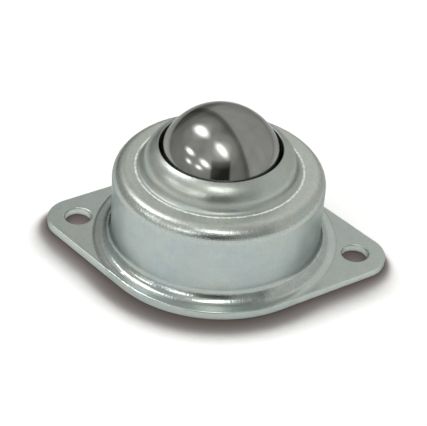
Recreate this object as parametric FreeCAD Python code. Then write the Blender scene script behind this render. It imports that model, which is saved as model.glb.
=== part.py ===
"""Ball transfer unit: a polished load ball that rolls every way on a bed of small bearing balls.

The bed lies in a hardened cup. A drawn sheet housing with a two-hole flange holds the cup and the ball,
and a base plate, swaged into the underside of the flange, closes it and carries the cup's foot.
Millimetres, +Z up. The origin is the middle of the flange's underside, and the holes lie along X.
"""
import FreeCAD, Part

import math
import os

Vector = FreeCAD.Vector
UP = Vector(0, 0, 1)
SAME = 1e-4            # two places closer than this are the same place

# Balls
BALL_D = 25.4          # load ball
BEARING_D = 3.175      # bearing ball
RUN = 0.05             # running clearance of the bearing balls, to the load ball and to the cup
BALL_GAP = 0.04        # least gap between two neighbours in a row of bearing balls
ROW_GAP = 0.06         # least gap between two rows of bearing balls
TOP_ROW_COVER = 0.5    # least height of the cup's mouth above the point where it carries the top row
TOP_ROW_GAP = 0.15     # least gap between the top row and the housing's neck

# Support cup
CUP_WALL = 2.42
CUP_FOOT_R = 3.2       # flat foot, coined at the pole
RIM_DROP = 3.41        # from the ball's centre down to the centre of the shoulder's bend
RIM_REACH = 1.53       # how far the rim stands out from the bowl
RIM_SKIRT = 0.9        # depth of the rim below the shoulder's bend
RIM_FILLET = 0.8       # under the rim, where it leaves the bowl
FIT = 0.05             # clearance of the cup and of the base plate in the housing

# Base plate
PLATE = 1.2            # thickness, which is also the depth of its seat in the flange
PLATE_SEAT = 0.55      # width of the ring that the plate bears on
SWAGE = 0.5            # the flange's edge, rolled in over the plate's chamfer

# Housing, drawn from sheet
SHEET = 1.6
SHOULDER_BEND = 1.22   # inside radius of the bend from wall to shoulder
SHOULDER_TILT = 1.5    # degrees that the shoulder falls outwards
BEAD_H = 0.08          # fine raised line that the draw tool leaves where the shoulder ends
BEAD_W = 0.22
FLARE_R = 1.2          # outside radius of the flare from shoulder to neck
NECK_GAP = 1.34        # between the ball's equator and the narrowest that the flare would turn to
NECK_LEAN = 9.0        # degrees that the neck leans in
NECK_H = 0.41          # straight stretch between the flare and the lip
LIP_BEND = 3.4         # inside radius of the lip, which closes over the ball
LIP_GAP = 0.08         # to the ball, at the lip's lower edge
LIP_ROUND = 0.2
FOOT_R = 2.65          # outside radius from wall to flange
INNER_FOOT_R = 2.95    # inside radius, from wall to the plate's seat
RING_RUN = 1.533       # width of the sloping ring round the foot, which the draw ring pressed
RING_TILT = 10.0       # degrees that the ring falls outwards

# Flange
FLANGE_RIM = 1.475     # beside the plate's seat, at the narrow sides
HOLE_D = 5.5
HOLE_WEB = 2.725       # between the plate's seat and a hole
END_WALL = 3.55        # round a hole, at the flange's ends
EDGE_ROLL = 0.3        # rounded top edge that the blanking tool leaves
HOLE_ROLL = 0.4

# The stack: plate, cup, bearing ball and load ball, from the flange's underside up
ball_r = BALL_D / 2
bearing_r = BEARING_D / 2
bed_r = ball_r + RUN + bearing_r
race_r = bed_r + bearing_r + RUN
cup_r = race_r + CUP_WALL
pole_wall = math.sqrt(cup_r ** 2 - CUP_FOOT_R ** 2) - race_r
ball_z = PLATE + pole_wall + race_r

# Radii, from the cup outwards
rim_r = cup_r + RIM_REACH
wall_in = rim_r + FIT
wall_r = wall_in + SHEET
inner_foot_r = wall_in + INNER_FOOT_R
plate_r = inner_foot_r + PLATE_SEAT
seat_r = plate_r + FIT
flange_r = seat_r + FLANGE_RIM
hole_x = seat_r + HOLE_WEB + HOLE_D / 2
end_r = HOLE_D / 2 + END_WALL

# Foot: a round that runs on into the sloping ring
ring_sin = math.sin(math.radians(RING_TILT))
ring_cos = math.cos(math.radians(RING_TILT))
foot_r = wall_r + FOOT_R
ring_in = foot_r - FOOT_R * ring_sin
ring_out = ring_in + RING_RUN
ring_slope = ring_sin / ring_cos
ring_top = SHEET + RING_RUN * ring_slope

# Shoulder: its bend turns about one centre, and its two faces are parallel lines
bend_r = wall_in - SHOULDER_BEND
bend_z = ball_z - RIM_DROP
tilt_sin = math.sin(math.radians(SHOULDER_TILT))
tilt_cos = math.cos(math.radians(SHOULDER_TILT))


def shoulder_z(r, offset):
    """Height at radius r of the line that runs parallel to the shoulder, offset from the bend's centre."""
    return bend_z + (offset - tilt_sin * (r - bend_r)) / tilt_cos


# Neck, close round the ball: shoulder, flare, neck and lip meet in tangents, inside and outside
outer_bend = SHOULDER_BEND + SHEET
inner_flare = FLARE_R + SHEET
flare_r = ball_r + NECK_GAP + inner_flare
flare_z = shoulder_z(flare_r, outer_bend + FLARE_R)
lip_out = LIP_BEND + SHEET
lean_sin = math.sin(math.radians(NECK_LEAN))
lean_cos = math.cos(math.radians(NECK_LEAN))
lip_centre_r = flare_r - lean_cos * (FLARE_R + lip_out) - lean_sin * NECK_H
lip_centre_z = flare_z - lean_sin * (FLARE_R + lip_out) + lean_cos * NECK_H


def line(a, b):
    return Part.LineSegment(Vector(a[0], 0, a[1]), Vector(b[0], 0, b[1])).toShape()


def on_circle(centre, radius, degrees):
    angle = math.radians(degrees)
    return centre[0] + radius * math.cos(angle), centre[1] + radius * math.sin(angle)


def arc(centre, radius, start, end):
    """Arc in the section plane, from one angle to another, in degrees from the outward direction."""
    points = [on_circle(centre, radius, angle) for angle in (start, (start + end) / 2, end)]
    return Part.Arc(*[Vector(r, 0, z) for r, z in points]).toShape()


def joined(edges):
    """Closed section from edges in order, with a straight line wherever one ends short of the next."""
    chain = []
    for edge, following in zip(edges, edges[1:] + edges[:1]):
        chain.append(edge)
        end, start = ends(edge)[1], ends(following)[0]
        if (start - end).Length > SAME:
            chain.append(Part.LineSegment(end, start).toShape())
    return Part.Wire(chain)


def ends(edge):
    return edge.valueAt(edge.FirstParameter), edge.valueAt(edge.LastParameter)


def turned(edges):
    """Solid of revolution about Z."""
    solid = Part.Face(joined(edges)).revolve(Vector(0, 0, 0), UP, 360)
    return solid if solid.Volume > 0 else solid.reversed()


def ring_edges(shape, radius, height):
    """Circular edges of a shape about Z, of that radius and at that height."""
    return [e for e in shape.Edges
            if not e.Degenerated
            and isinstance(e.Curve, Part.Circle)
            and abs(e.Curve.Radius - radius) < SAME
            and abs(e.Curve.Center.z - height) < SAME
            and math.hypot(e.Curve.Center.x, e.Curve.Center.y) < SAME]


def lip_edge():
    """Angle on the lip's inside, in degrees, where it comes to its gap from the ball, and the radius there."""
    reach = ball_r + LIP_GAP
    rise = lip_centre_z - ball_z
    apart = math.hypot(lip_centre_r, rise)
    # triangle of the ball's centre, the lip's centre and the edge
    between = math.acos((LIP_BEND ** 2 + apart ** 2 - reach ** 2) / (2 * LIP_BEND * apart))
    turn = math.pi + math.atan2(rise, lip_centre_r) - between
    return math.degrees(turn), lip_centre_r + LIP_BEND * math.cos(turn)


def shell():
    """The drawn sheet before it is blanked out: lip, neck, shoulder, wall, foot and a round flange."""
    lip_centre = (lip_centre_r, lip_centre_z)
    lip_low, lip_r = lip_edge()
    # the lip's top edge is rounded by an arc that touches the lip's outside and its bore
    lip_top = math.degrees(math.acos((lip_r + LIP_ROUND - lip_centre_r) / (lip_out - LIP_ROUND)))
    lip_round = on_circle(lip_centre, lip_out - LIP_ROUND, lip_top)

    # the bead stands on the shoulder, just outside the flare
    shoulder_turn = 90 - SHOULDER_TILT
    bead_bend = (BEAD_H ** 2 + BEAD_W ** 2 / 4) / (2 * BEAD_H)
    bead_turn = math.degrees(2 * math.atan(2 * BEAD_H / BEAD_W))
    bead_r = flare_r + BEAD_W / 2
    bead = (bead_r, shoulder_z(bead_r, outer_bend + BEAD_H - bead_bend))

    disc_r = hole_x + end_r + SHEET

    bend = (bend_r, bend_z)
    foot = (foot_r, ring_top + FOOT_R * ring_cos)
    inner_foot = (inner_foot_r, PLATE + INNER_FOOT_R)
    flare = (flare_r, flare_z)
    outside = [
        arc(lip_round, LIP_ROUND, 180, lip_top),
        arc(lip_centre, lip_out, lip_top, NECK_LEAN),
        arc(flare, FLARE_R, 180 + NECK_LEAN, 270 - SHOULDER_TILT),
        arc(bead, bead_bend, shoulder_turn + bead_turn, shoulder_turn - bead_turn),
        arc(bend, outer_bend, shoulder_turn, 0),
        arc(foot, FOOT_R, 180, 270 - RING_TILT),
        line((ring_in, ring_top), (ring_out, SHEET)),
        line((disc_r, SHEET), (disc_r, 0)),
    ]
    inside = [
        line((seat_r - SWAGE, 0), (seat_r, SWAGE)),
        line((seat_r, PLATE), (inner_foot_r, PLATE)),
        arc(inner_foot, INNER_FOOT_R, 270, 180),
        arc(bend, SHOULDER_BEND, 0, shoulder_turn),
        arc(flare, inner_flare, 270 - SHOULDER_TILT, 180 + NECK_LEAN),
        arc(lip_centre, LIP_BEND, NECK_LEAN, lip_low),
    ]
    return turned(outside + inside)


def flange_outline():
    """Flange outline as a wire: a middle circle and two end circles, joined by common tangents."""
    lean = math.acos((flange_r - end_r) / hole_x)
    corner = Vector(math.cos(lean), math.sin(lean), 0)
    edges = []
    for side in (1, -1):
        end = Vector(side * hole_x, 0, 0)
        out = Vector(side * corner.x, side * corner.y, 0)
        back = Vector(side * corner.x, -side * corner.y, 0)
        across = Vector(-side * corner.x, side * corner.y, 0)
        edges += [
            Part.LineSegment(back * flange_r, end + back * end_r).toShape(),
            Part.Arc(end + back * end_r, end + Vector(side * end_r, 0, 0), end + out * end_r).toShape(),
            Part.LineSegment(end + out * end_r, out * flange_r).toShape(),
            Part.Arc(out * flange_r, Vector(0, side * flange_r, 0), across * flange_r).toShape(),
        ]
    return Part.Wire(edges)


def rim_edges(shape):
    """Edges along the top of the flange's cut sides, which run round the outline."""
    outline = flange_outline()
    found = []
    for edge in shape.Edges:
        if edge.Degenerated or edge.BoundBox.ZMin < SHEET - SAME:
            continue
        if all(on_outline(point, outline) for point in edge.discretize(5)):
            found.append(edge)
    return found


def on_outline(point, outline):
    flat = Part.Vertex(point.x, point.y, 0)
    return outline.distToShape(flat)[0] < SAME


def housing():
    """Drawn shell, blanked out along the flange's outline and pierced for its two screws."""
    top = ball_z + BALL_D
    blank = Part.Face(flange_outline()).extrude(UP * top)
    body = shell().common(blank)
    body = body.makeFillet(EDGE_ROLL, rim_edges(body))
    for side in (1, -1):
        place = Vector(side * hole_x, 0, 0)
        body = body.cut(Part.makeCylinder(HOLE_D / 2, top, place))
        edge = [e for e in body.Edges if not e.Degenerated and isinstance(e.Curve, Part.Circle)
                and (e.Curve.Center - place - UP * SHEET).Length < SAME
                and abs(e.Curve.Radius - HOLE_D / 2) < SAME]
        body = body.makeFillet(HOLE_ROLL, edge)
    return body.Solids[0]


def support_cup():
    """Bowl with a flat foot and a rim that seats under the housing's shoulder and centres in its wall."""
    rim_bend = SHOULDER_BEND - FIT
    rim_low = bend_z - RIM_SKIRT
    bowl_r = math.sqrt(cup_r ** 2 - (ball_z - rim_low) ** 2)
    mouth = race_mouth()
    foot_turn = math.degrees(math.acos(CUP_FOOT_R / cup_r))
    bowl_turn = math.degrees(math.acos(bowl_r / cup_r))
    mouth_turn = math.degrees(math.atan2(mouth[1] - ball_z, mouth[0]))
    centre = (0, ball_z)
    solid = turned([
        line((0, PLATE), (CUP_FOOT_R, PLATE)),
        arc(centre, cup_r, -foot_turn, -bowl_turn),
        line((rim_r, rim_low), (rim_r, bend_z)),
        arc((bend_r, bend_z), rim_bend, 0, 90 - SHOULDER_TILT),
        arc(centre, race_r, mouth_turn, -90),
    ])
    return solid.makeFillet(RIM_FILLET, ring_edges(solid, bowl_r, rim_low))


def race_mouth():
    """Where the race, a circle about the ball's centre, meets the line of the rim's top face."""
    # distance of the ball's centre from that line, along the line's normal
    offset = SHOULDER_BEND - FIT
    away = offset - (tilt_sin * -bend_r + tilt_cos * (ball_z - bend_z))
    along = math.sqrt(race_r ** 2 - away ** 2)
    return tilt_sin * away + tilt_cos * along, ball_z + tilt_cos * away - tilt_sin * along


def base_plate():
    """Disc that closes the underside, with a chamfer for the swaged edge."""
    return turned([
        line((0, 0), (plate_r - SWAGE, 0)),
        line((plate_r, SWAGE), (plate_r, PLATE)),
        line((0, PLATE), (0, 0)),
    ])


def highest_row():
    """Angle from the pole, about the ball's centre, that the top row may reach under the mouth and the neck."""
    under_mouth = math.acos((ball_z - race_mouth()[1] + TOP_ROW_COVER) / race_r)
    # triangle of the ball's centre, the flare's centre and a bearing ball that just clears the flare
    rise = flare_z - ball_z
    reach = math.hypot(flare_r, rise)
    apart = inner_flare + bearing_r + TOP_ROW_GAP
    between = math.acos((bed_r ** 2 + reach ** 2 - apart ** 2) / (2 * bed_r * reach))
    under_neck = math.pi / 2 + math.atan2(rise, flare_r) - between
    return min(under_mouth, under_neck)


def bearing_rows():
    """Rows of bearing balls, evenly spread from the cup's pole up, each a list of ball centres."""
    least_turn = 2 * math.asin((BEARING_D + ROW_GAP) / (2 * bed_r))
    row_count = int(highest_row() / least_turn)
    rows = [[Vector(0, 0, ball_z - bed_r)]]
    for row in range(1, row_count + 1):
        turn = highest_row() * row / row_count
        radius = bed_r * math.sin(turn)
        height = ball_z - bed_r * math.cos(turn)
        count = int(math.pi / math.asin((BEARING_D + BALL_GAP) / (2 * radius)))
        places = [2 * math.pi * place / count for place in range(count)]
        rows.append([Vector(radius * math.cos(p), radius * math.sin(p), height) for p in places])
    return rows


def export(name, shape):
    shape.exportStep(f"parts/{name}.step")
    print(f"{name}: {len(shape.Solids)} solid(s), {shape.Volume:.1f} mm3, valid {shape.isValid()}")


os.makedirs("parts", exist_ok=True)
export("housing", housing())
export("base_plate", base_plate())
export("support_cup", support_cup())
export("load_ball", Part.makeSphere(ball_r, Vector(0, 0, ball_z)))
for row, centres in enumerate(bearing_rows()):
    name = f"bearing_ball_row_{row}" if row else "bearing_ball_centre"
    export(name, Part.makeCompound([Part.makeSphere(bearing_r, centre) for centre in centres]))
print(f"ball centre at {ball_z:.3f}, holes {2 * hole_x:.3f} apart, "
      f"flange {2 * (hole_x + end_r):.2f} x {2 * flange_r:.2f}, wall radius {wall_r:.3f}")
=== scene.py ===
# %% [markdown]
# # Ball transfer unit
# A polished steel ball stands out of a pressed, zinc-plated housing and rolls every way on a bed of small
# bearing balls. Two screws hold the flange down. The solid model gives every shape and size in one frame,
# and this script gives the pieces their finish, the light and the camera.

import bpy
import math
from mathutils import Matrix, Quaternion, Vector


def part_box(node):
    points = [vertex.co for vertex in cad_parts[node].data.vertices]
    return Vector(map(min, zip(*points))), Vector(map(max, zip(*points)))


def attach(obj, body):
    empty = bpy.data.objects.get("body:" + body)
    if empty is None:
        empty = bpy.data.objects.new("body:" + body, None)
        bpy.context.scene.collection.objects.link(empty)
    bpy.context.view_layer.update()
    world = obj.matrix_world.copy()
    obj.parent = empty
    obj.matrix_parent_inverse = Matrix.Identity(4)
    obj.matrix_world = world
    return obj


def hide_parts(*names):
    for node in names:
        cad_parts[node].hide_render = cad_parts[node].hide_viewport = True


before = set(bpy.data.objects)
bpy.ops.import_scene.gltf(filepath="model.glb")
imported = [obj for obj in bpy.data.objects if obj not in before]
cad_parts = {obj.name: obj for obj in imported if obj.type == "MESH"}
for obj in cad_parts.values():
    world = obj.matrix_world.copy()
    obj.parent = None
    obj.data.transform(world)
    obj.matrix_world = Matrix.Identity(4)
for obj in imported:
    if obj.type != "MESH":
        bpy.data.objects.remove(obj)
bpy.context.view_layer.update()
scene = bpy.context.scene

# %% [markdown]
# ## Camera
# The photograph looks down on the unit from the front, with the screw holes lying left and right. A camera
# can be placed by eye, but here its angles are written as elevation, azimuth and roll, because each of them
# can then be read off the picture: the roundness of the lip gives the elevation, the line through the two
# holes gives the azimuth and the roll. A long lens keeps the far hole nearly as large as the near one.

# %% Place the camera
IMAGE_WIDTH = 427
LENS_PIXELS = 1560.0
SENSOR = 36.0
elevation = math.radians(37.0)
azimuth = math.radians(6.07)
roll = math.radians(3.88)
distance = 0.31962
aside = -0.00065
aim_height = 0.00705

back = Vector((
    math.sin(azimuth) * math.cos(elevation),
    -math.cos(azimuth) * math.cos(elevation),
    math.sin(elevation),
))
level_right = Vector((0, 0, 1)).cross(back).normalized()
level_up = back.cross(level_right)
right = level_right * math.cos(roll) + level_up * math.sin(roll)
up = level_up * math.cos(roll) - level_right * math.sin(roll)

lens = bpy.data.cameras.new("camera")
lens.sensor_fit = "HORIZONTAL"
lens.sensor_width = SENSOR
lens.lens = SENSOR * LENS_PIXELS / IMAGE_WIDTH
lens.clip_start = 0.01
camera = bpy.data.objects.new("camera", lens)
eye = back * distance + level_right * aside + Vector((0, 0, aim_height))
camera.matrix_world = Matrix.Translation(eye) @ Matrix((right, up, back)).transposed().to_4x4()
scene.collection.objects.link(camera)
scene.camera = camera
print("camera: lens %.1f mm, %.0f mm away" % (lens.lens, 1000 * distance))

# %% [markdown]
# ## Node helpers
# Materials, the floor and the room are all node trees. Two small helpers keep the cells short: one adds a
# node and fills or links its inputs, the other does one step of arithmetic.

# %% Helpers for node trees
def add(tree, kind, inputs=None, **settings):
    """A node with these settings, each input set to a value or linked from a socket."""
    made = tree.nodes.new(kind)
    for name, value in settings.items():
        setattr(made, name, value)
    for name, value in (inputs or {}).items():
        if isinstance(value, bpy.types.NodeSocket):
            tree.links.new(value, made.inputs[name])
        else:
            made.inputs[name].default_value = value
    return made


def calc(tree, operation, *values, clamp=False):
    """One step of arithmetic on numbers or sockets."""
    return add(tree, "ShaderNodeMath", dict(enumerate(values)), operation=operation, use_clamp=clamp).outputs[0]


def ramp(tree, value, stops, smooth=True):
    """A colour ramp through (position, grey) stops."""
    made = add(tree, "ShaderNodeValToRGB", {"Fac": value})
    made.color_ramp.interpolation = "EASE" if smooth else "LINEAR"
    elements = made.color_ramp.elements
    while len(elements) < len(stops):
        elements.new(0.5)
    for element, (position, grey) in zip(elements, stops):
        element.position = position
        element.color = (grey, grey, grey, 1)
    return made.outputs["Color"]


def blend(tree, factor, first, second, mode="MIX"):
    """Two colours blended by a factor."""
    made = add(tree, "ShaderNodeMix", data_type="RGBA", blend_type=mode)
    for place, value in ((0, factor), (6, first), (7, second)):
        if isinstance(value, bpy.types.NodeSocket):
            tree.links.new(value, made.inputs[place])
        else:
            made.inputs[place].default_value = value
    return made.outputs[2]


def empty_material(name):
    """A material whose tree holds only its output."""
    material = bpy.data.materials.new(name)
    material.use_nodes = True
    material.node_tree.nodes.clear()
    return material, material.node_tree, material.node_tree.nodes.new("ShaderNodeOutputMaterial")


print("helpers ready")

# %% [markdown]
# ## Lamps of the studio
# The ball and the rounds of the housing mirror six lamps: a broad one high in front, and five on the left.
# Each is written as its height and its turn from the camera, in degrees, then its size and its lean, its
# brightness and the glow that its light leaves on the room around it. Read off the picture, a lamp's place
# follows from where it is mirrored in the ball.

# %% Table of lamps
LAMPS = {
    # name: (high, round by, width, height, lean, brightness, glow)
    "key_lamp": (61, 3, 0.21, 0.52, 38, 10.0, 0.75),
    "left_back_lamp": (57, -112, 0.22, 0.55, -39, 13.0, 0.50),
    "left_lamp": (33, -74, 0.12, 0.35, -79, 10.0, 0.10),
    "left_front_lamp": (32, -32, 0.15, 0.36, 73, 9.0, 0.20),
    "low_left_lamp": (22, -41, 0.11, 0.24, 87, 6.0, 0.10),
    "low_side_lamp": (21, -64, 0.11, 0.24, 91, 5.0, 0.05),
}


def toward(high, round_by):
    """Direction from the unit, in degrees above the floor and to the right of the camera."""
    turn, rise = azimuth + math.radians(round_by), math.radians(high)
    return Vector((math.sin(turn) * math.cos(rise), -math.cos(turn) * math.cos(rise), math.sin(rise)))


print("lamps:", ", ".join(LAMPS))

# %% [markdown]
# ## Room
# Polished metal has no look of its own: it shows the room. This one is a small studio in soft greys: a paler
# screen to the right and behind, a darker gap where that screen ends, and a dimmer left side. A picture of a
# real room could be wrapped round the scene instead, but a few greys chosen by direction do the same and can
# be tuned one by one. A faint noise over the directions stands for the clutter of a real room.

# %% Greys of the room by direction
SCREEN_SIDE = Vector((0.93, 0.82, 0.0))
CLUTTER_SHARE = 0.4
room = bpy.data.worlds.new("room")
scene.world = room
room.use_nodes = True
tree = room.node_tree
tree.nodes.clear()
looking = add(tree, "ShaderNodeTexCoord").outputs["Generated"]


def along(direction):
    """How far the looking direction points along another one, from -1 to 1."""
    dot = add(tree, "ShaderNodeVectorMath", {0: looking, 1: direction}, operation="DOT_PRODUCT")
    return dot.outputs["Value"]


screen_side = calc(tree, "MULTIPLY_ADD", along(SCREEN_SIDE), 0.5, 0.5)
greys = ramp(tree, screen_side, [
    (0.0, 0.44), (0.52, 0.41), (0.60, 0.33), (0.65, 0.23),
    (0.69, 0.29), (0.74, 0.67), (0.80, 0.71), (1.0, 0.71)])
clutter = add(tree, "ShaderNodeTexNoise", {
    "Vector": looking, "Scale": 2.6, "Detail": 3.0, "Roughness": 0.6}).outputs[0]
uneven = ramp(tree, clutter, [(0.30, 0.74), (0.70, 1.26)], smooth=False)
greys = blend(tree, CLUTTER_SHARE, greys, uneven, "MULTIPLY")
print("room: a pale screen on the right, a dimmer left side")

# %% [markdown]
# Two dark things stand in the room: a corner low behind on the left, and the camera itself low in front,
# which the ball mirrors as a dark block. The block is where three ramps overlap: near the middle, low, ahead.

# %% Dark corner and the camera's shape
CORNER_SIDE = Vector((-0.51, 0.857, 0.0))
UPWARD = Vector((0.0, 0.0, 1.0))
CAMERA_ASIDE = 0.02
CAMERA_GREY = (0.045, 0.045, 0.045, 1.0)
dark_corner = ramp(tree, along(CORNER_SIDE), [(0.0, 1.0), (0.88, 1.0), (0.97, 0.50), (1.0, 0.50)])
greys = blend(tree, 1.0, greys, dark_corner, "MULTIPLY")
beside = calc(tree, "ABSOLUTE", calc(tree, "SUBTRACT", along(level_right), CAMERA_ASIDE))
narrow = ramp(tree, beside, [(0.0, 1.0), (0.25, 1.0), (0.34, 0.0), (1.0, 0.0)])
low = ramp(tree, along(UPWARD), [(0.0, 1.0), (0.58, 1.0), (0.70, 0.0), (1.0, 0.0)])
ahead = ramp(tree, along(toward(0, 0)), [(0.0, 0.0), (0.5, 1.0)])
camera_shape = calc(tree, "MULTIPLY", calc(tree, "MULTIPLY", narrow, low), ahead)
greys = blend(tree, camera_shape, greys, CAMERA_GREY)
print("room: dark corner behind, dark camera in front")

# %% [markdown]
# A lamp lights the cloth and the wall round it, so each lamp also leaves a glow in the room. The glows are
# added to the greys, and a hint of warmth is laid over everything.

# %% Glow of the lamps on the room
WARMTH = (1.0, 1.0, 0.96, 1.0)
for high, round_by, *_, glow in LAMPS.values():
    halo = ramp(tree, along(toward(high, round_by)), [
        (0.0, 0.0), (0.80, 0.0), (0.94, 0.3 * glow), (1.0, glow)])
    greys = blend(tree, 1.0, greys, halo, "ADD")
tinted = blend(tree, 1.0, greys, WARMTH, "MULTIPLY")
background = add(tree, "ShaderNodeBackground", {"Color": tinted, "Strength": 1.0})
add(tree, "ShaderNodeOutputWorld", {"Surface": background.outputs[0]})
print("room:", len(tree.nodes), "nodes in its tree")

# %% [markdown]
# ## Floor
# The unit stands on plain white paper, which takes its soft shadow and is what the upright wall mirrors. A
# curved backdrop would serve as well, but seen from above one flat sheet fills the picture.

# %% Flat sheet for the floor
FLOOR_HALF = 2.0
mesh = bpy.data.meshes.new("floor")
corners = [(x * FLOOR_HALF, y * FLOOR_HALF, 0) for x, y in ((-1, -1), (1, -1), (1, 1), (-1, 1))]
mesh.from_pydata(corners, [], [(0, 1, 2, 3)])
floor = bpy.data.objects.new("floor", mesh)
scene.collection.objects.link(floor)
print("floor: %.0f m square" % (2 * FLOOR_HALF))

# %% [markdown]
# The paper is white with a faint fibre in its colour. Close to the metal, ambient occlusion counts the light
# that still gets under the edge, and by it a contact shadow is painted into the paper's colour, seen only by
# the camera. It looks up and back, to where the light on the paper comes from, so the painted shadow lies in
# front of the flange, and a ramp gives it the depth and the fall of the picture.

# %% Paper and its painted contact shadow
SHADOW_REACH = 0.0085
SHADOW_LEAN = Vector((0.03, 0.92, 0.40))
SHADOW_POWER = 6.5
PAINTED_SHADOW_COLOUR = (0.078, 0.057, 0.053, 1)
paper, tree, output = empty_material("white_paper")
place = add(tree, "ShaderNodeTexCoord").outputs["Object"]
fibre = add(tree, "ShaderNodeTexNoise", {"Vector": place, "Scale": 900.0, "Detail": 3.0})
paper_white = blend(tree, fibre.outputs[0], (0.93, 0.93, 0.93, 1), (0.96, 0.96, 0.96, 1))
leaning = add(tree, "ShaderNodeNormal").outputs["Normal"]
leaning.default_value = SHADOW_LEAN
open_sky = add(tree, "ShaderNodeAmbientOcclusion", {
    "Distance": SHADOW_REACH, "Normal": leaning}, samples=48).outputs["AO"]
painted_shadow = calc(tree, "SUBTRACT", 1.0, calc(tree, "POWER", open_sky, SHADOW_POWER))
painted_shadow = ramp(tree, painted_shadow, [
    (0.0, 0.0), (0.15, 0.0), (0.30, 0.04), (0.42, 0.20),
    (0.55, 0.50), (0.70, 0.79), (1.0, 0.955)], smooth=False)
seen = add(tree, "ShaderNodeLightPath").outputs["Is Camera Ray"]
# Painted shadow: for camera rays only, the paper's colour darkens towards the shadow colour by the occlusion.
colour = blend(tree, calc(tree, "MULTIPLY", painted_shadow, seen), paper_white, PAINTED_SHADOW_COLOUR)
surface = add(tree, "ShaderNodeBsdfPrincipled", {
    "Base Color": colour, "Roughness": 0.9, "Specular IOR Level": 0.0})
tree.links.new(surface.outputs[0], output.inputs["Surface"])
mesh.materials.append(paper)
print("paper:", len(tree.nodes), "nodes in its tree")

# %% [markdown]
# A plain area lamp shows in a mirror as a hard-edged tile. These fade from a bright middle to nothing at the
# edge, as a lamp behind cloth does, so that their mirror image on the ball has no border. The fade is a node
# tree in the lamp, by the distance from its middle.

# %% Soft lamps
LAMP_AWAY = 0.60


def soft_lamp(name, high, round_by, width, height, lean, brightness):
    """A lamp that fades from its middle to its edge, turned about its own axis by its lean."""
    data = bpy.data.lights.new(name, "AREA")
    data.shape = "ELLIPSE"
    data.size = width
    data.size_y = height
    data.energy = math.pi * math.pi * width * height / 4 * brightness
    data.use_nodes = True
    tree = data.node_tree
    across = add(tree, "ShaderNodeNewGeometry").outputs["Parametric"]
    off = add(tree, "ShaderNodeVectorMath", {0: across, 1: Vector((0.5, 0.5, 0.0))}, operation="DISTANCE")
    fade = ramp(tree, off.outputs["Value"], [
        (0.0, 1.0), (0.1, 0.62), (0.2, 0.28), (0.3, 0.11), (0.4, 0.03), (0.5, 0.0)], smooth=False)
    tree.links.new(fade, tree.nodes["Emission"].inputs["Strength"])
    made = bpy.data.objects.new(name, data)
    made.location = toward(high, round_by) * LAMP_AWAY
    faced = made.location.to_track_quat("Z", "Y")
    made.rotation_euler = (faced @ Quaternion((0, 0, 1), math.radians(lean))).to_euler()
    scene.collection.objects.link(made)


for name, (*shape, _) in LAMPS.items():
    soft_lamp(name, *shape)

# %% [markdown]
# A seventh lamp, high behind, only lights the paper round the unit to white, in a pool that fades out further
# off, and throws the shadow towards the camera. It stays out of the metal's mirror image, where it would add
# a spot that the picture lacks.

# %% Pool of light on the paper
data = bpy.data.lights.new("paper_lamp", "SPOT")
data.energy = 6.0
data.spot_size = math.radians(44)
data.spot_blend = 0.6
data.shadow_soft_size = 0.13
pool = bpy.data.objects.new("paper_lamp", data)
pool.location = (0.05, 0.20, 0.66)
pool.rotation_euler = Vector(pool.location).to_track_quat("Z", "Y").to_euler()
pool.visible_glossy = False
scene.collection.objects.link(pool)
print("paper lamp at", tuple(round(v, 2) for v in pool.location))

# %% [markdown]
# ## Shared effects
# The pieces share a few effects. Each is a shader group with named inputs, so that a material can place it
# with its own sizes. The pattern of pressing and turning runs round the axis, so a small helper first writes
# a place as radius, height and length of arc, measured in the piece's own coordinates. Another one turns the
# peaks of a noise into a mask.

# %% Helpers for the groups
ARC = 0.022


def new_group(name, inputs, outputs):
    """A shader group with (name, default) inputs and named outputs, all plain values."""
    made = bpy.data.node_groups.new(name, "ShaderNodeTree")
    for label, default in inputs:
        made.interface.new_socket(label, in_out="INPUT", socket_type="NodeSocketFloat").default_value = default
    for label in outputs:
        made.interface.new_socket(label, in_out="OUTPUT", socket_type="NodeSocketFloat")
    return made, made.nodes.new("NodeGroupInput").outputs, made.nodes.new("NodeGroupOutput").inputs


def place_of(tree):
    """Radius from the axis, height and length of arc of a point, in metres, with its place as a vector."""
    spot = add(tree, "ShaderNodeTexCoord").outputs["Object"]
    x, y, z = add(tree, "ShaderNodeSeparateXYZ", {0: spot}).outputs
    radius = calc(tree, "SQRT", calc(tree, "ADD", calc(tree, "MULTIPLY", x, x), calc(tree, "MULTIPLY", y, y)))
    return radius, z, calc(tree, "MULTIPLY", calc(tree, "ARCTAN2", y, x), ARC), spot


def noise(tree, vector, scale=1.0, detail=2.0, roughness=0.5):
    """Smooth noise from 0 to 1 over a vector."""
    return add(tree, "ShaderNodeTexNoise", {
        "Vector": vector, "Scale": scale, "Detail": detail, "Roughness": roughness}).outputs[0]


def at(tree, *parts):
    """A vector from its parts."""
    return add(tree, "ShaderNodeCombineXYZ", dict(enumerate(parts))).outputs[0]


def above(tree, value, level, slope):
    """How far a value rises above a level, as a mask from 0 to 1."""
    return calc(tree, "MULTIPLY", calc(tree, "SUBTRACT", value, level), slope, clamp=True)


print("helpers for groups ready")

# %% [markdown]
# Pressing leaves two sorts of line in the sheet: fine rings round the axis, and draw lines that run down over
# the bends, as the sheet slid over the die. Both are one noise, stretched long one way and fine the other.

# %% Group for rings and draw lines
tool_lines, given, out = new_group("tool_lines", [("Fine", 0.0003), ("Long", 0.02)], ["Rings", "Draws"])
radius, height, arc, _ = place_of(tool_lines)
down = calc(tool_lines, "SUBTRACT", radius, height)
for label, first, second in (("Rings", down, arc), ("Draws", arc, down)):
    streaks = noise(tool_lines, at(tool_lines, calc(tool_lines, "DIVIDE", first, given["Fine"]),
                                   calc(tool_lines, "DIVIDE", second, given["Long"])))
    tool_lines.links.new(streaks, out[label])
print("group:", tool_lines.name)

# %% [markdown]
# Plating is never quite even. A fine grain makes it sparkle, blotches of a few millimetres change its
# brightness, and wide clouds change its tint where the film on the zinc is thicker or thinner.

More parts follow.
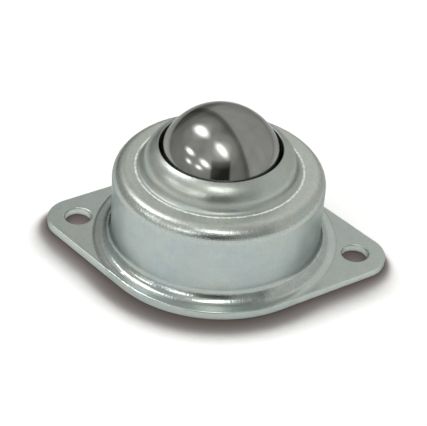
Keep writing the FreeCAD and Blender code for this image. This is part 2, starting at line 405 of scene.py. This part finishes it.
# %% Group for the grain of the plating
CLOUD_SCALE = 170.0
grain, given, out = new_group("plating_grain", [("Size", 0.0004)], ["Grain", "Blotch", "Cloud"])
spot = add(grain, "ShaderNodeTexCoord").outputs["Object"]
grain.links.new(noise(grain, spot, calc(grain, "DIVIDE", 1.0, given["Size"]), 4.0, 0.65), out["Grain"])
grain.links.new(noise(grain, spot, calc(grain, "DIVIDE", 0.2, given["Size"])), out["Blotch"])
grain.links.new(noise(grain, spot, CLOUD_SCALE, 4.0, 0.6), out["Cloud"])
print("group:", grain.name)

# %% [markdown]
# Handling scratches the pieces. A scratch is short and straight, so two stretched noises, turned two ways,
# are cut off near their peaks, and a wide noise keeps the scratches together in patches.

# %% Group for scratches
SCRATCH_TURNS = (35, -50)
PATCH_SCALE = 140.0
scratches, given, out = new_group(
    "scratches", [("Length", 0.004), ("Width", 0.00012), ("Amount", 0.5)], ["Mask"])
radius, height, arc, spot = place_of(scratches)
down = calc(scratches, "SUBTRACT", radius, height)
layers = []
for turn in SCRATCH_TURNS:
    c, d = math.cos(math.radians(turn)), math.sin(math.radians(turn))
    lengthwise = calc(scratches, "MULTIPLY_ADD", arc, c, calc(scratches, "MULTIPLY", down, d))
    crosswise = calc(scratches, "MULTIPLY_ADD", arc, -d, calc(scratches, "MULTIPLY", down, c))
    streaks = noise(scratches, at(scratches, calc(scratches, "DIVIDE", lengthwise, given["Length"]),
                                  calc(scratches, "DIVIDE", crosswise, given["Width"])), detail=0.0)
    layers.append(above(scratches, streaks, 0.70, 8.0))
patchy = above(scratches, noise(scratches, spot, PATCH_SCALE), 0.50, 6.0)
both = calc(scratches, "MULTIPLY", calc(scratches, "MAXIMUM", *layers), patchy)
scratches.links.new(calc(scratches, "MULTIPLY", both, given["Amount"]), out["Mask"])
print("group:", scratches.name)

# %% [markdown]
# Some wear follows the shape: the press tool burnishes the crease and the shoulder in flecks, and the foot
# with its ring all round, and on the crease the worn line is also a painted glint. A band marks what lies
# between two radii and two heights, and breaks up into flecks as far as it is asked to.

# %% Group for a band round the axis
FLECK_SCALE = 1500.0
band, given, out = new_group("ring_band", [
    ("Inner", 0.016), ("Outer", 0.020), ("Low", 0.017), ("High", 0.020),
    ("Soft", 0.0002), ("Broken", 0.5)], ["Mask"])
radius, height, _, spot = place_of(band)
solid = 1.0
for more, less in ((radius, given["Inner"]), (given["Outer"], radius),
                   (height, given["Low"]), (given["High"], height)):
    depth = calc(band, "DIVIDE", calc(band, "SUBTRACT", more, less), given["Soft"])
    solid = calc(band, "MULTIPLY", solid, calc(band, "ADD", depth, 0.5, clamp=True))
flecks = above(band, noise(band, spot, FLECK_SCALE, 1.0), 0.4, 5.0)
gaps = calc(band, "MULTIPLY", calc(band, "SUBTRACT", 1.0, flecks), given["Broken"])
band.links.new(calc(band, "MULTIPLY", solid, calc(band, "SUBTRACT", 1.0, gaps)), out["Mask"])
print("group:", band.name)

# %% [markdown]
# ## Finishes
# A finish is built from the shared effects. Three helpers keep that short: one places an effect with its own
# sizes, one turns a noise into a factor near one, and one raises a value inside some bands round the axis.

# %% Helpers for the finishes
def use(tree, group, **values):
    """A shared effect placed in a material with its own values."""
    made = add(tree, "ShaderNodeGroup", node_tree=group)
    for label, value in values.items():
        made.inputs[label].default_value = value
    return made.outputs


def even(tree, value, spread):
    """A noise turned into a factor round 1."""
    return calc(tree, "MULTIPLY_ADD", value, spread, 1 - spread / 2)


def banded(tree, value, bands):
    """A value raised by an amount in each of some bands round the axis."""
    for amount, place in bands:
        value = calc(tree, "MULTIPLY_ADD", use(tree, band, **place)["Mask"], amount, value)
    return value


print("helpers for finishes ready")

# %% [markdown]
# The housing is one sheet, but the press has treated each part of it differently. It burnished the foot with
# its ring, drew the bends and the flare, left the crease as a fine worn line, and hardly touched the wall; the
# crease also carries a painted glint along its edge. Each part is a band between two radii and two heights, in
# metres, so that the finish can name it. Painting the parts by hand would do as well, but a band stays exact
# all the way round.

# %% Bands of the housing
crease = dict(Inner=0.01674, Outer=0.01716, Low=0.0186, High=0.0192, Soft=0.00008, Broken=0.6)
shoulder = dict(Inner=0.0168, Outer=0.0200, Low=0.0178, High=0.0195, Soft=0.0008, Broken=0.3)
lip = dict(Inner=0.0100, Outer=0.0160, Low=0.0205, High=0.0260, Soft=0.0006, Broken=0.0)
bend = dict(Inner=0.0195, Outer=0.0217, Low=0.0155, High=0.0186, Soft=0.0008, Broken=0.0)
flare = dict(Inner=0.0150, Outer=0.0168, Low=0.0186, High=0.0206, Soft=0.0004, Broken=0.0)
upper = dict(Inner=0.0, Outer=0.0213, Low=0.0158, High=0.03, Soft=0.0015, Broken=0.0)
wall = dict(Inner=0.0200, Outer=0.0219, Low=0.0045, High=0.0155, Soft=0.0008, Broken=0.0)
foot = dict(Inner=0.0219, Outer=0.0253, Low=0.0, High=0.0040, Soft=0.0003, Broken=0.0)
ring = dict(Inner=0.0234, Outer=0.0249, Low=0.0, High=0.0030, Soft=0.0005, Broken=0.15)
flange = dict(Inner=0.0253, Outer=0.05, Low=0.0, High=0.0020, Soft=0.0003, Broken=0.15)
print("bands of the housing: ten, from the lip down to the flange")

# %% [markdown]
# Zinc plating on pressed sheet is a satin metal in a cool grey with a touch of green. Its colour, its gloss
# and its surface all follow the grain and the lines of pressing. A paint would be far too even: what makes
# it read as metal is that the light breaks up on it. The blotches also lift the surface by a few hundredths
# of a millimetre, because drawn sheet is never quite true, and so the mirrored lamps get uneven edges.

# %% Zinc plating
# The worn colour lightens scratches and worn bands; on the crease it is a painted glint.
WORN_METAL_AND_GLINT = (0.86, 0.89, 0.84, 1)
EDGE_TINT = (0.45, 0.46, 0.45, 1)
PLAIN_METALLIC = 0.94
PLAIN_LINES = 0.5
RELIEF_DEPTH = 0.00004


def zinc(name, cool, warm, bands):
    """Satin zinc plating between two tints, with bands that are warmer, brighter, rougher, duller or lined."""
    material, tree, output = empty_material(name)
    film = use(tree, grain, Size=0.00045)
    lines = use(tree, tool_lines, Fine=0.00030, Long=0.012)
    marks = use(tree, scratches, Length=0.004, Width=0.00012, Amount=0.35)["Mask"]
    shade = calc(tree, "MULTIPLY", even(tree, film["Grain"], 0.24), even(tree, film["Blotch"], 0.18))
    shade = calc(tree, "MULTIPLY", shade, even(tree, lines["Rings"], 0.10))
    shade = calc(tree, "MULTIPLY", shade, even(tree, lines["Draws"], 0.10))
    grey = add(tree, "ShaderNodeCombineColor", {0: shade, 1: shade, 2: shade}).outputs[0]
    tint = calc(tree, "MULTIPLY_ADD", film["Cloud"], 1.6, -0.3)
    tint = blend(tree, banded(tree, tint, bands.get("warm", [])), cool, warm)
    bright = banded(tree, marks, bands.get("bright", []))
    colour = blend(tree, bright, blend(tree, 1.0, tint, grey, "MULTIPLY"), WORN_METAL_AND_GLINT)
    rough = calc(tree, "MULTIPLY_ADD", film["Grain"], 0.14, 0.20)
    rough = calc(tree, "MULTIPLY_ADD", film["Blotch"], 0.06, rough)
    rough = banded(tree, rough, bands.get("rough", []))
    drawn = calc(tree, "MULTIPLY", calc(tree, "ADD", lines["Rings"], lines["Draws"]),
                 banded(tree, PLAIN_LINES, bands.get("lined", [])))
    relief = calc(tree, "ADD", drawn, calc(tree, "MULTIPLY_ADD", film["Blotch"], 4.0, film["Grain"]))
    relief = calc(tree, "MULTIPLY_ADD", marks, -0.2, relief)
    bump = add(tree, "ShaderNodeBump", {"Height": relief, "Strength": 0.3, "Distance": RELIEF_DEPTH})
    surface = add(tree, "ShaderNodeBsdfPrincipled", {
        "Base Color": colour, "Metallic": banded(tree, PLAIN_METALLIC, bands.get("dull", [])),
        "Roughness": rough, "Normal": bump.outputs[0], "Specular Tint": EDGE_TINT})
    tree.links.new(surface.outputs[0], output.inputs["Surface"])
    return material


print("zinc plating: a satin metal that takes two tints and some bands")

# %% [markdown]
# On the housing the parts above the bend are a little warmer, and the wall is cooler and duller. The crease,
# shoulder, ring and flange are worn brighter, and the crease is near white and mostly not metallic, a painted
# glint that shows as a bright line under any light. The foot is smoothest of all, with the lines of the tool
# still in it. The base plate is a flat blank that no tool has drawn, so it takes the plating as it is.

# %% Zinc on the housing and on the base plate
# The crease's bright and dull bands paint a glint along it: near white and mostly not metallic.
zinc_plate = zinc("housing_zinc", (0.400, 0.474, 0.487, 1), (0.460, 0.482, 0.440, 1), {
    "warm": [(0.25, upper), (-0.15, wall)],
    "bright": [(1.0, crease), (0.34, shoulder), (0.20, flange), (0.26, ring)],
    "rough": [(-0.19, foot), (0.02, lip), (-0.04, bend), (0.03, wall), (0.05, ring),
              (0.07, shoulder), (0.12, flare)],
    "dull": [(-0.60, crease), (-0.10, shoulder), (-0.30, wall), (0.06, foot), (-0.16, ring)],
    "lined": [(1.6, foot), (1.2, flare), (1.0, bend), (0.6, lip)],
})
zinc_plate_base = zinc("base_plate_zinc", (0.42, 0.48, 0.48, 1), (0.49, 0.50, 0.47, 1), {})
print("zinc on", zinc_plate.name, "and", zinc_plate_base.name)

# %% [markdown]
# The load ball is hardened and polished to a mirror, with only a faint haze and a few hairlines. The bearing
# balls have the same steel, and the cup is ground and heat-treated, so it is darker and less even.

# %% Steels
def steel(name, colour, gloss, haze, ring_depth):
    """Polished or ground steel: a grey with hairlines, and rings where it was turned."""
    material, tree, output = empty_material(name)
    film = use(tree, grain, Size=0.0012)
    marks = use(tree, scratches, Length=0.006, Width=0.0001, Amount=0.35)["Mask"]
    lines = use(tree, tool_lines, Fine=0.0005, Long=0.03)["Rings"]
    dark = tuple(0.93 * part for part in colour) + (1,)
    shade = blend(tree, film["Cloud"], dark, colour + (1,))
    rough = calc(tree, "MULTIPLY_ADD", film["Cloud"], haze, gloss)
    rough = calc(tree, "MULTIPLY_ADD", marks, 0.10, rough)
    relief = calc(tree, "MULTIPLY_ADD", lines, ring_depth, calc(tree, "MULTIPLY", marks, -0.3))
    bump = add(tree, "ShaderNodeBump", {"Height": relief, "Strength": 0.1, "Distance": 0.00002})
    surface = add(tree, "ShaderNodeBsdfPrincipled", {
        "Base Color": shade, "Metallic": 1.0, "Roughness": rough, "Normal": bump.outputs[0],
        "Specular Tint": (0.5, 0.5, 0.5, 1)})
    tree.links.new(surface.outputs[0], output.inputs["Surface"])
    return material


ball_steel = steel("load_ball_steel", (0.325, 0.33, 0.315), 0.04, 0.04, 0.0)
bearing_steel = steel("bearing_ball_steel", (0.52, 0.51, 0.50), 0.06, 0.05, 0.0)
hardened_steel = steel("cup_steel", (0.30, 0.29, 0.28), 0.30, 0.15, 1.0)
print("steels for the ball, the bearing balls and the cup")

# %% [markdown]
# Each piece of the solid model already has a slot for its material. The finish goes into that slot on the
# object and not on its mesh, so the mesh stays as it was loaded. The bearing balls follow in the next step.

# %% Put the finishes on the pieces
def finish_node(name, material):
    """Gives a node of the solid model its finish, in the slots that it already has."""
    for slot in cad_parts[name].material_slots:
        slot.link = "OBJECT"
        slot.material = material


finish_node("housing", zinc_plate)
finish_node("base_plate", zinc_plate_base)
finish_node("support_cup", hardened_steel)
finish_node("load_ball", ball_steel)
print("finished: housing, base plate, cup and load ball")

# %% [markdown]
# ## Bearing bed
# Under the load ball, rows of small balls lie in the cup, each row a ring with as many balls as fit side by
# side. They could be placed one by one, but one rule places them all: each row is turned a little further
# up the bowl from its pole, and the radius of the ring says how many balls it holds. Geometry Nodes follow
# that rule with a repeat zone, once for each row, and then put a ball on every point. All of them carry the
# load together, so they are one piece on one body, and they stand for the balls of the solid model.

# %% Sizes of the bed, measured on the solid model
BEARING_DIAMETER = 0.003175
BEARING_GAP = 0.00004
BALL_SUBDIVISIONS = 2
BALL_CORNERS = 42
bearing_nodes = sorted(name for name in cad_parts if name.startswith("bearing_ball"))
row_nodes = [name for name in bearing_nodes if "row" in name]


def middle_height(node):
    """Height of the middle of a node of the solid model."""
    low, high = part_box(node)
    return (low[2] + high[2]) / 2


ball_height = middle_height("load_ball")
bed_radius = ball_height - middle_height("bearing_ball_centre")
top_turn = math.acos((ball_height - middle_height(row_nodes[-1])) / bed_radius)
print("bed: radius %.3f mm, %d rows, the top one %.1f degrees up from the pole" % (
    1000 * bed_radius, len(row_nodes), math.degrees(top_turn)))

# %% [markdown]
# The tree has named inputs for its sizes. In the repeat zone, one row is a circle of points at its own
# radius and height, joined to the rows before it. The circle starts on the X axis, as the rows of the solid
# model do.

# %% Tree for the bed: rows of points
bed_tree = bpy.data.node_groups.new("bearing_bed", "GeometryNodeTree")
bed_tree.interface.new_socket("Balls", in_out="OUTPUT", socket_type="NodeSocketGeometry")
bed_inputs = {}
for label, kind, value in (
        ("Bed Radius", "NodeSocketFloat", bed_radius), ("Ball Diameter", "NodeSocketFloat", BEARING_DIAMETER),
        ("Gap", "NodeSocketFloat", BEARING_GAP), ("Rows", "NodeSocketInt", len(row_nodes)),
        ("Top Turn", "NodeSocketFloat", top_turn), ("Centre Height", "NodeSocketFloat", ball_height),
        ("Steel", "NodeSocketMaterial", bearing_steel)):
    socket = bed_tree.interface.new_socket(label, in_out="INPUT", socket_type=kind)
    bed_inputs[socket.identifier] = value
given = add(bed_tree, "NodeGroupInput").outputs

start = add(bed_tree, "GeometryNodeRepeatInput")
stop = add(bed_tree, "GeometryNodeRepeatOutput")
start.pair_with_output(stop)
bed_tree.links.new(given["Rows"], start.inputs["Iterations"])
share = calc(bed_tree, "DIVIDE", calc(bed_tree, "ADD", start.outputs["Iteration"], 1.0), given["Rows"])
turn = calc(bed_tree, "MULTIPLY", given["Top Turn"], share)
row_radius = calc(bed_tree, "MULTIPLY", given["Bed Radius"], calc(bed_tree, "SINE", turn))
drop = calc(bed_tree, "MULTIPLY", given["Bed Radius"], calc(bed_tree, "COSINE", turn))
row_height = calc(bed_tree, "SUBTRACT", given["Centre Height"], drop)
half_pitch = calc(bed_tree, "MULTIPLY", calc(bed_tree, "ADD", given["Ball Diameter"], given["Gap"]), 0.5)
half_angle = calc(bed_tree, "ARCSINE", calc(bed_tree, "DIVIDE", half_pitch, row_radius))
count = calc(bed_tree, "FLOOR", calc(bed_tree, "DIVIDE", math.pi, half_angle))
row = add(bed_tree, "GeometryNodeMeshCircle", {"Vertices": count, "Radius": row_radius})
lift = add(bed_tree, "ShaderNodeCombineXYZ", {2: row_height})
raised = add(bed_tree, "GeometryNodeTransform", {"Geometry": row.outputs[0], "Translation": lift.outputs[0]})
grown = add(bed_tree, "GeometryNodeJoinGeometry", {"Geometry": start.outputs["Geometry"]})
bed_tree.links.new(raised.outputs[0], grown.inputs[0])
bed_tree.links.new(grown.outputs[0], stop.inputs["Geometry"])
print("rows of the bed:", len(bed_inputs), "inputs")

# %% [markdown]
# After the zone, one more point is set at the bowl's pole, and each point takes a ball of few faces, shaded
# smooth. The balls are made real, so that they can become one plain mesh.

# %% Tree for the bed: balls on the points
pole_height = calc(bed_tree, "SUBTRACT", given["Centre Height"], given["Bed Radius"])
pole = add(bed_tree, "ShaderNodeCombineXYZ", {2: pole_height})
single = add(bed_tree, "GeometryNodeMeshLine", {"Count": 1, "Start Location": pole.outputs[0]})
places = add(bed_tree, "GeometryNodeJoinGeometry", {"Geometry": stop.outputs["Geometry"]})
bed_tree.links.new(single.outputs[0], places.inputs[0])
ball = add(bed_tree, "GeometryNodeMeshIcoSphere", {
    "Radius": calc(bed_tree, "MULTIPLY", given["Ball Diameter"], 0.5), "Subdivisions": BALL_SUBDIVISIONS})
smooth = add(bed_tree, "GeometryNodeSetShadeSmooth", {"Geometry": ball.outputs["Mesh"]})
balls = add(bed_tree, "GeometryNodeInstanceOnPoints", {
    "Points": places.outputs[0], "Instance": smooth.outputs[0]})
real = add(bed_tree, "GeometryNodeRealizeInstances", {"Geometry": balls.outputs[0]})
steeled = add(bed_tree, "GeometryNodeSetMaterial", {"Geometry": real.outputs[0], "Material": given["Steel"]})
add(bed_tree, "NodeGroupOutput", {"Balls": steeled.outputs[0]})
print("tree for the bed:", len(bed_tree.nodes), "nodes")

# %% [markdown]
# The modifier is filled by each socket's identifier before it is first evaluated. The evaluated result then
# becomes a plain mesh, because the exported model keeps no instances, and the maker object goes away.

# %% Bed as a plain mesh
def made_by(tree, inputs, name):
    """Plain mesh object from a tree of geometry nodes and its inputs."""
    maker = bpy.data.objects.new(name + "_maker", bpy.data.meshes.new(name + "_maker"))
    scene.collection.objects.link(maker)
    modifier = maker.modifiers.new(name, "NODES")
    modifier.node_group = tree
    for identifier, value in inputs.items():
        modifier[identifier] = value
    mesh = bpy.data.meshes.new_from_object(maker.evaluated_get(bpy.context.evaluated_depsgraph_get()))
    maker.modifiers.remove(modifier)
    bpy.data.objects.remove(maker)
    mesh.name = name
    made = bpy.data.objects.new(name, mesh)
    scene.collection.objects.link(made)
    return made


bearing_bed = made_by(bed_tree, bed_inputs, "bearing_balls")
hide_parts(*bearing_nodes)
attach(bearing_bed, "bearing_bed")
ball_count = len(bearing_bed.data.vertices) // BALL_CORNERS
print("bearing bed:", len(bearing_bed.data.polygons), "faces on", ball_count, "balls")

# %% [markdown]
# ## Colour and sizes
# The Standard view shows a colour as it is written, which a picture on white paper needs. The box round
# everything is measured once more and kept beside the box of the loaded model, to show that no piece has
# grown or moved.

# %% Colour view, and the sizes before and after
scene.view_settings.view_transform = "Standard"
